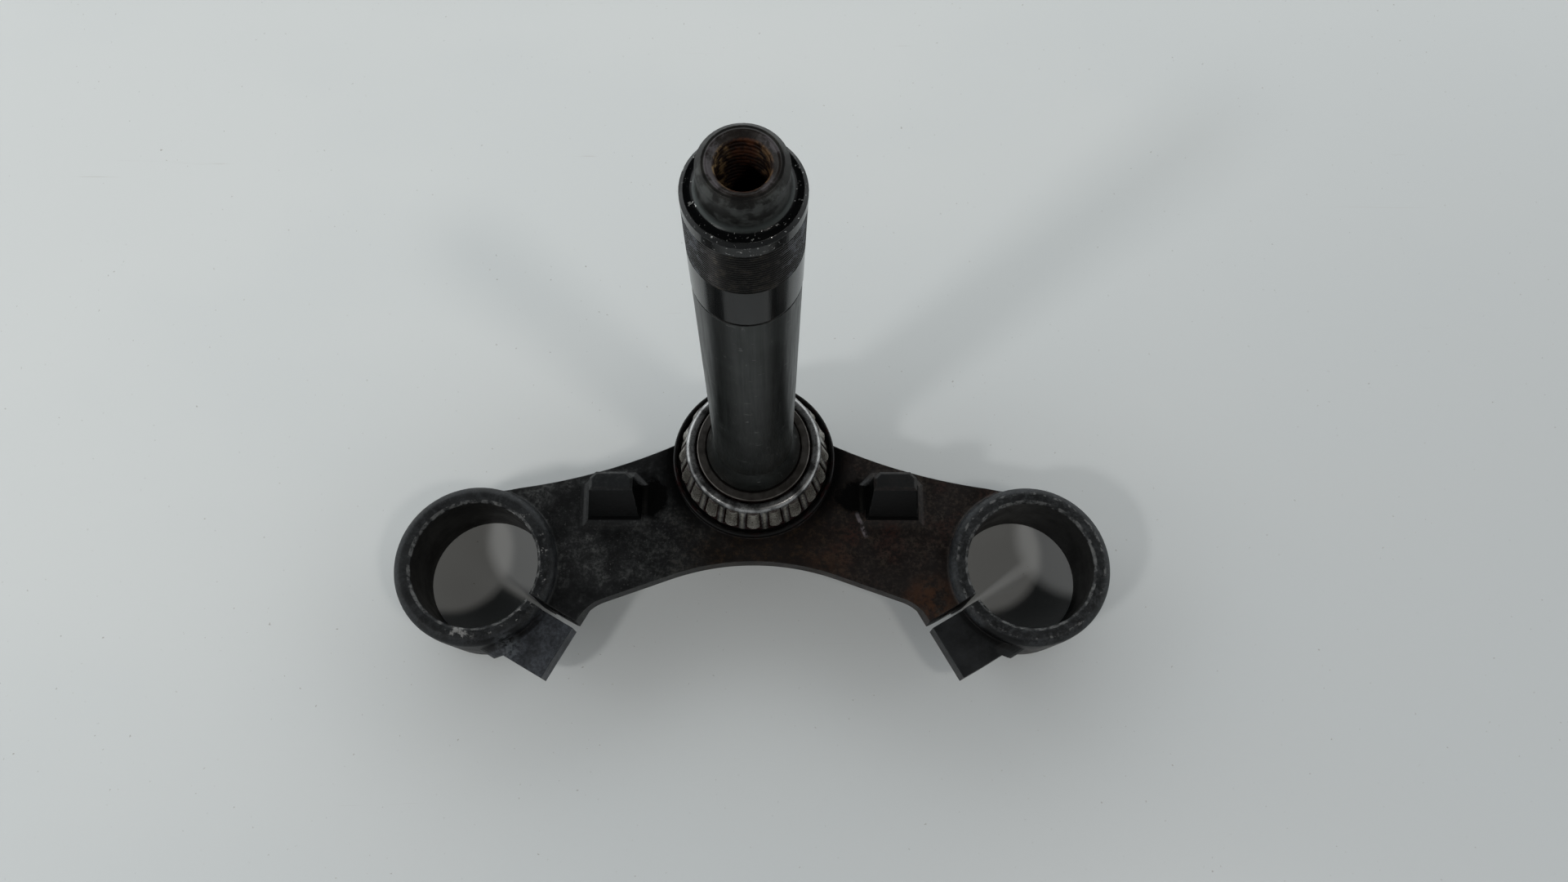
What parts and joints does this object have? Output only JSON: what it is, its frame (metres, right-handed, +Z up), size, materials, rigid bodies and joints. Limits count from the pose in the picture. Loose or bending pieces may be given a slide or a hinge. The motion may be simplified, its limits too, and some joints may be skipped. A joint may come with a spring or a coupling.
{
  "type": "motorcycle triple clamp",
  "caption": "Lower triple clamp: cast yoke with two split fork rings and steering stops, hollow threaded stem, and a lower taper roller bearing that turns.",
  "frame": {"origin": "where the stem's axis meets the underside, at the mouth of the stem's bottom bore", "axes": "+Z up the stem, +X across the two forks, the fork tubes on the -Y side"},
  "size_m": [0.2324, 0.0985, 0.2188],
  "materials": {
    "yoke_paint": "worn matt black paint on cast steel, grey scuffs and rust stains",
    "stem_steel": "dark blued satin steel",
    "washer_steel": "dull, greasy",
    "seal_rubber": "black, greasy",
    "ring_steel": "ground steel, brown with old grease",
    "cage_steel": "pressed bright steel",
    "roller_steel": "polished steel with a film of grease"
  },
  "bodies": {
    "yoke_and_stem": {"yoke": "yoke_paint", "steering_stem": "stem_steel", "seal_washer": "washer_steel", "dust_seal": "seal_rubber", "bearing_inner_ring": "ring_steel"},
    "cage": {"bearing_cage": "cage_steel"},
    "roller_01": {"roller_01": "roller_steel"},
    "roller_02": {"roller_02": "roller_steel"},
    "roller_03": {"roller_03": "roller_steel"},
    "roller_04": {"roller_04": "roller_steel"},
    "roller_05": {"roller_05": "roller_steel"},
    "roller_06": {"roller_06": "roller_steel"},
    "roller_07": {"roller_07": "roller_steel"},
    "roller_08": {"roller_08": "roller_steel"},
    "roller_09": {"roller_09": "roller_steel"},
    "roller_10": {"roller_10": "roller_steel"},
    "roller_11": {"roller_11": "roller_steel"},
    "roller_12": {"roller_12": "roller_steel"},
    "roller_13": {"roller_13": "roller_steel"},
    "roller_14": {"roller_14": "roller_steel"},
    "roller_15": {"roller_15": "roller_steel"},
    "roller_16": {"roller_16": "roller_steel"},
    "roller_17": {"roller_17": "roller_steel"},
    "roller_18": {"roller_18": "roller_steel"},
    "roller_19": {"roller_19": "roller_steel"},
    "roller_20": {"roller_20": "roller_steel"}
  },
  "joints": [
    {"name": "cage_spin", "type": "hinge", "parent": "yoke_and_stem", "child": "cage", "pos_m": [0, 0, 0.0352], "axis": [0, 0, 1], "continuous": true},
    {"name": "roller_01_spin", "type": "hinge", "parent": "cage", "child": "roller_01", "pos_m": [0.0209, 0, 0.0352], "axis": [-0.2164, 0, 0.9763], "continuous": true},
    {"name": "roller_02_spin", "type": "hinge", "parent": "cage", "child": "roller_02", "pos_m": [0.01988, 0.00646, 0.0352], "axis": [-0.2058, -0.0669, 0.9763], "continuous": true},
    {"name": "roller_03_spin", "type": "hinge", "parent": "cage", "child": "roller_03", "pos_m": [0.01691, 0.01229, 0.0352], "axis": [-0.1751, -0.1272, 0.9763], "continuous": true},
    {"name": "roller_04_spin", "type": "hinge", "parent": "cage", "child": "roller_04", "pos_m": [0.01229, 0.01691, 0.0352], "axis": [-0.1272, -0.1751, 0.9763], "continuous": true},
    {"name": "roller_05_spin", "type": "hinge", "parent": "cage", "child": "roller_05", "pos_m": [0.00646, 0.01988, 0.0352], "axis": [-0.0669, -0.2058, 0.9763], "continuous": true},
    {"name": "roller_06_spin", "type": "hinge", "parent": "cage", "child": "roller_06", "pos_m": [0, 0.0209, 0.0352], "axis": [0, -0.2164, 0.9763], "continuous": true},
    {"name": "roller_07_spin", "type": "hinge", "parent": "cage", "child": "roller_07", "pos_m": [-0.00646, 0.01988, 0.0352], "axis": [0.0669, -0.2058, 0.9763], "continuous": true},
    {"name": "roller_08_spin", "type": "hinge", "parent": "cage", "child": "roller_08", "pos_m": [-0.01229, 0.01691, 0.0352], "axis": [0.1272, -0.1751, 0.9763], "continuous": true},
    {"name": "roller_09_spin", "type": "hinge", "parent": "cage", "child": "roller_09", "pos_m": [-0.01691, 0.01229, 0.0352], "axis": [0.1751, -0.1272, 0.9763], "continuous": true},
    {"name": "roller_10_spin", "type": "hinge", "parent": "cage", "child": "roller_10", "pos_m": [-0.01988, 0.00646, 0.0352], "axis": [0.2058, -0.0669, 0.9763], "continuous": true},
    {"name": "roller_11_spin", "type": "hinge", "parent": "cage", "child": "roller_11", "pos_m": [-0.0209, 0, 0.0352], "axis": [0.2164, 0, 0.9763], "continuous": true},
    {"name": "roller_12_spin", "type": "hinge", "parent": "cage", "child": "roller_12", "pos_m": [-0.01988, -0.00646, 0.0352], "axis": [0.2058, 0.0669, 0.9763], "continuous": true},
    {"name": "roller_13_spin", "type": "hinge", "parent": "cage", "child": "roller_13", "pos_m": [-0.01691, -0.01229, 0.0352], "axis": [0.1751, 0.1272, 0.9763], "continuous": true},
    {"name": "roller_14_spin", "type": "hinge", "parent": "cage", "child": "roller_14", "pos_m": [-0.01229, -0.01691, 0.0352], "axis": [0.1272, 0.1751, 0.9763], "continuous": true},
    {"name": "roller_15_spin", "type": "hinge", "parent": "cage", "child": "roller_15", "pos_m": [-0.00646, -0.01988, 0.0352], "axis": [0.0669, 0.2058, 0.9763], "continuous": true},
    {"name": "roller_16_spin", "type": "hinge", "parent": "cage", "child": "roller_16", "pos_m": [0, -0.0209, 0.0352], "axis": [0, 0.2164, 0.9763], "continuous": true},
    {"name": "roller_17_spin", "type": "hinge", "parent": "cage", "child": "roller_17", "pos_m": [0.00646, -0.01988, 0.0352], "axis": [-0.0669, 0.2058, 0.9763], "continuous": true},
    {"name": "roller_18_spin", "type": "hinge", "parent": "cage", "child": "roller_18", "pos_m": [0.01229, -0.01691, 0.0352], "axis": [-0.1272, 0.1751, 0.9763], "continuous": true},
    {"name": "roller_19_spin", "type": "hinge", "parent": "cage", "child": "roller_19", "pos_m": [0.01691, -0.01229, 0.0352], "axis": [-0.1751, 0.1272, 0.9763], "continuous": true},
    {"name": "roller_20_spin", "type": "hinge", "parent": "cage", "child": "roller_20", "pos_m": [0.01988, -0.00646, 0.0352], "axis": [-0.2058, 0.0669, 0.9763], "continuous": true}
  ],
  "couplings": [
    {"joint": "roller_01_spin", "follows": "cage_spin", "ratio": 7.0593},
    {"joint": "roller_02_spin", "follows": "cage_spin", "ratio": 7.0593},
    {"joint": "roller_03_spin", "follows": "cage_spin", "ratio": 7.0593},
    {"joint": "roller_04_spin", "follows": "cage_spin", "ratio": 7.0593},
    {"joint": "roller_05_spin", "follows": "cage_spin", "ratio": 7.0593},
    {"joint": "roller_06_spin", "follows": "cage_spin", "ratio": 7.0593},
    {"joint": "roller_07_spin", "follows": "cage_spin", "ratio": 7.0593},
    {"joint": "roller_08_spin", "follows": "cage_spin", "ratio": 7.0593},
    {"joint": "roller_09_spin", "follows": "cage_spin", "ratio": 7.0593},
    {"joint": "roller_10_spin", "follows": "cage_spin", "ratio": 7.0593},
    {"joint": "roller_11_spin", "follows": "cage_spin", "ratio": 7.0593},
    {"joint": "roller_12_spin", "follows": "cage_spin", "ratio": 7.0593},
    {"joint": "roller_13_spin", "follows": "cage_spin", "ratio": 7.0593},
    {"joint": "roller_14_spin", "follows": "cage_spin", "ratio": 7.0593},
    {"joint": "roller_15_spin", "follows": "cage_spin", "ratio": 7.0593},
    {"joint": "roller_16_spin", "follows": "cage_spin", "ratio": 7.0593},
    {"joint": "roller_17_spin", "follows": "cage_spin", "ratio": 7.0593},
    {"joint": "roller_18_spin", "follows": "cage_spin", "ratio": 7.0593},
    {"joint": "roller_19_spin", "follows": "cage_spin", "ratio": 7.0593},
    {"joint": "roller_20_spin", "follows": "cage_spin", "ratio": 7.0593}
  ]
}
